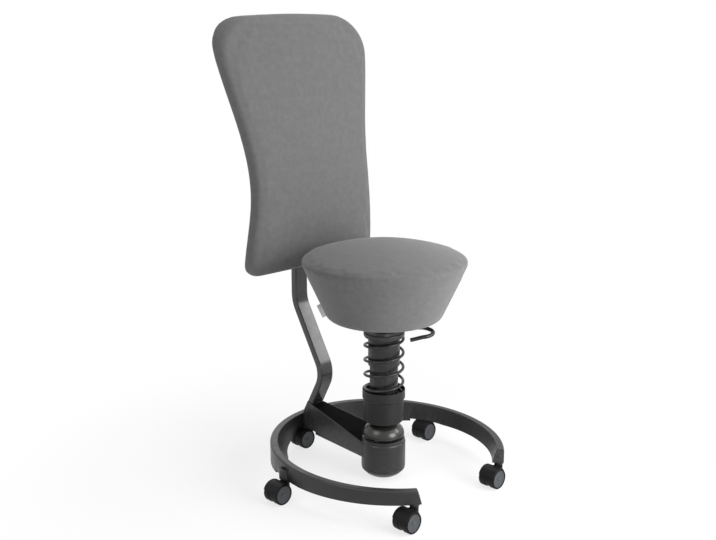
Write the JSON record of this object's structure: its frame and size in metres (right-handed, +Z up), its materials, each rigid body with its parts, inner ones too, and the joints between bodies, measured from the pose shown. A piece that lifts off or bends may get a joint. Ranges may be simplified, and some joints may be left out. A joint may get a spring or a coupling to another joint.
{
  "type": "spring balance stool",
  "caption": "Round padded seat on a sprung, tilting column with a gas lift, on a low open ring base with casters, with a tall padded backrest on a bent flat bar.",
  "frame": {"origin": "on the floor, under the middle of the whole stool's box", "axes": "+Z up, -Y the way the sitter faces, +X the sitter's left"},
  "size_m": [0.5892, 0.6058, 1.1166],
  "materials": {
    "charcoal_aluminium": "satin",
    "charcoal_steel": "satin",
    "black_plastic": "satin",
    "zinc_steel": "satin",
    "dark_spring_steel": "satin",
    "black_rubber": "matte",
    "caster_tread": "satin",
    "grey_microfibre": "matte",
    "foam": "matte",
    "plywood": "matte"
  },
  "bodies": {
    "base": {"base_ring": "charcoal_aluminium", "base_arm": "charcoal_aluminium", "arm_cover": "black_plastic", "foot_housing": "charcoal_aluminium", "foot_cap": "black_rubber", "tilt_buffer": "black_rubber", "backrest_bar": "charcoal_steel", "backrest_bracket": "charcoal_aluminium", "bar_bolt_1": "zinc_steel", "bar_bolt_2": "zinc_steel", "backrest_board": "plywood", "backrest_foam": "foam", "backrest_cover": "grey_microfibre", "backrest_screw_1": "zinc_steel", "backrest_screw_2": "zinc_steel", "backrest_screw_3": "zinc_steel", "backrest_screw_4": "zinc_steel"},
    "gimbal": {"gimbal_ring": "zinc_steel"},
    "column": {"column_post": "charcoal_steel", "tilt_dome": "black_plastic"},
    "collar": {"spring_collar": "black_plastic"},
    "slider": {"column_sleeve": "charcoal_steel", "spring_plate": "charcoal_steel", "coil_spring": "dark_spring_steel"},
    "lift": {"gas_spring": "dark_spring_steel"},
    "valve": {"valve_pin": "zinc_steel"},
    "seat": {"seat_plate": "zinc_steel", "seat_board": "plywood", "seat_foam": "foam", "seat_cover": "grey_microfibre", "seat_screw_1": "zinc_steel", "seat_screw_2": "zinc_steel", "seat_screw_3": "zinc_steel", "seat_screw_4": "zinc_steel", "lever_pin": "zinc_steel"},
    "lever": {"height_lever": "dark_spring_steel"},
    "caster_back": {"caster_body_back": "black_plastic", "caster_axle_back": "zinc_steel"},
    "caster_left": {"caster_body_left": "black_plastic", "caster_axle_left": "zinc_steel"},
    "caster_right": {"caster_body_right": "black_plastic", "caster_axle_right": "zinc_steel"},
    "caster_front_left": {"caster_body_front_left": "black_plastic", "caster_axle_front_left": "zinc_steel"},
    "caster_front_right": {"caster_body_front_right": "black_plastic", "caster_axle_front_right": "zinc_steel"},
    "wheel_back_a": {"caster_wheel_back_a": "caster_tread"},
    "wheel_back_b": {"caster_wheel_back_b": "caster_tread"},
    "wheel_left_a": {"caster_wheel_left_a": "caster_tread"},
    "wheel_left_b": {"caster_wheel_left_b": "caster_tread"},
    "wheel_right_a": {"caster_wheel_right_a": "caster_tread"},
    "wheel_right_b": {"caster_wheel_right_b": "caster_tread"},
    "wheel_front_left_a": {"caster_wheel_front_left_a": "caster_tread"},
    "wheel_front_left_b": {"caster_wheel_front_left_b": "caster_tread"},
    "wheel_front_right_a": {"caster_wheel_front_right_a": "caster_tread"},
    "wheel_front_right_b": {"caster_wheel_front_right_b": "caster_tread"}
  },
  "joints": [
    {"name": "tilt_fore_aft", "type": "hinge", "parent": "base", "child": "gimbal", "pos_m": [0.01762, -0.04166, 0.091], "axis": [1, 0, 0], "range_deg": [-2, 5], "stiffness_Nm_per_rad": 300},
    {"name": "tilt_side", "type": "hinge", "parent": "gimbal", "child": "column", "pos_m": [0.01762, -0.04166, 0.091], "axis": [0, 1, 0], "range_deg": [-5, 5], "stiffness_Nm_per_rad": 300},
    {"name": "collar_turn", "type": "hinge", "parent": "column", "child": "collar", "pos_m": [0.01762, -0.04166, 0.19], "axis": [0, 0, 1], "continuous": true},
    {"name": "bounce", "type": "slide", "parent": "column", "child": "slider", "axis": [0, 0, 1], "range_m": [-0.045, 0], "stiffness_N_per_m": 16000, "springref_m": 0.012, "deforming": ["coil_spring"]},
    {"name": "seat_height", "type": "slide", "parent": "slider", "child": "lift", "axis": [0, 0, 1], "range_m": [0, 0.08]},
    {"name": "seat_swivel", "type": "hinge", "parent": "lift", "child": "seat", "pos_m": [0.01762, -0.04166, 0.39], "axis": [0, 0, 1], "continuous": true},
    {"name": "lever_lift", "type": "hinge", "parent": "seat", "child": "lever", "pos_m": [0.04065, -0.06667, 0.4057], "axis": [-0.7355, -0.6775, 0], "range_deg": [0, 5], "stiffness_Nm_per_rad": 2},
    {"name": "valve_press", "type": "slide", "parent": "lift", "child": "valve", "axis": [0, 0, 1], "range_m": [-0.003, 0], "stiffness_N_per_m": 100, "springref_m": 0.001},
    {"name": "caster_back_swivel", "type": "hinge", "parent": "base", "child": "caster_back", "pos_m": [0.01762, 0.22784, 0.06], "axis": [0, 0, 1], "continuous": true},
    {"name": "caster_left_swivel", "type": "hinge", "parent": "base", "child": "caster_left", "pos_m": [0.2803, 0.03016, 0.06], "axis": [0, 0, 1], "continuous": true},
    {"name": "caster_right_swivel", "type": "hinge", "parent": "base", "child": "caster_right", "pos_m": [-0.24507, 0.03016, 0.06], "axis": [0, 0, 1], "continuous": true},
    {"name": "caster_front_left_swivel", "type": "hinge", "parent": "base", "child": "caster_front_left", "pos_m": [0.17361, -0.28025, 0.06], "axis": [0, 0, 1], "continuous": true},
    {"name": "caster_front_right_swivel", "type": "hinge", "parent": "base", "child": "caster_front_right", "pos_m": [-0.13838, -0.28025, 0.06], "axis": [0, 0, 1], "continuous": true},
    {"name": "wheel_back_a_roll", "type": "hinge", "parent": "caster_back", "child": "wheel_back_a", "pos_m": [-0.00688, 0.22784, 0.025], "axis": [0, 1, 0], "continuous": true},
    {"name": "wheel_back_b_roll", "type": "hinge", "parent": "caster_back", "child": "wheel_back_b", "pos_m": [-0.00688, 0.22784, 0.025], "axis": [0, 1, 0], "continuous": true},
    {"name": "wheel_left_a_roll", "type": "hinge", "parent": "caster_left", "child": "wheel_left_a", "pos_m": [0.2558, 0.03016, 0.025], "axis": [0, 1, 0], "continuous": true},
    {"name": "wheel_left_b_roll", "type": "hinge", "parent": "caster_left", "child": "wheel_left_b", "pos_m": [0.2558, 0.03016, 0.025], "axis": [0, 1, 0], "continuous": true},
    {"name": "wheel_right_a_roll", "type": "hinge", "parent": "caster_right", "child": "wheel_right_a", "pos_m": [-0.26957, 0.03016, 0.025], "axis": [0, 1, 0], "continuous": true},
    {"name": "wheel_right_b_roll", "type": "hinge", "parent": "caster_right", "child": "wheel_right_b", "pos_m": [-0.26957, 0.03016, 0.025], "axis": [0, 1, 0], "continuous": true},
    {"name": "wheel_front_left_a_roll", "type": "hinge", "parent": "caster_front_left", "child": "wheel_front_left_a", "pos_m": [0.14911, -0.28025, 0.025], "axis": [0, 1, 0], "continuous": true},
    {"name": "wheel_front_left_b_roll", "type": "hinge", "parent": "caster_front_left", "child": "wheel_front_left_b", "pos_m": [0.14911, -0.28025, 0.025], "axis": [0, 1, 0], "continuous": true},
    {"name": "wheel_front_right_a_roll", "type": "hinge", "parent": "caster_front_right", "child": "wheel_front_right_a", "pos_m": [-0.16288, -0.28025, 0.025], "axis": [0, 1, 0], "continuous": true},
    {"name": "wheel_front_right_b_roll", "type": "hinge", "parent": "caster_front_right", "child": "wheel_front_right_b", "pos_m": [-0.16288, -0.28025, 0.025], "axis": [0, 1, 0], "continuous": true}
  ],
  "couplings": [
    {"joint": "valve_press", "follows": "lever_lift", "m_per_rad": -0.0343}
  ]
}
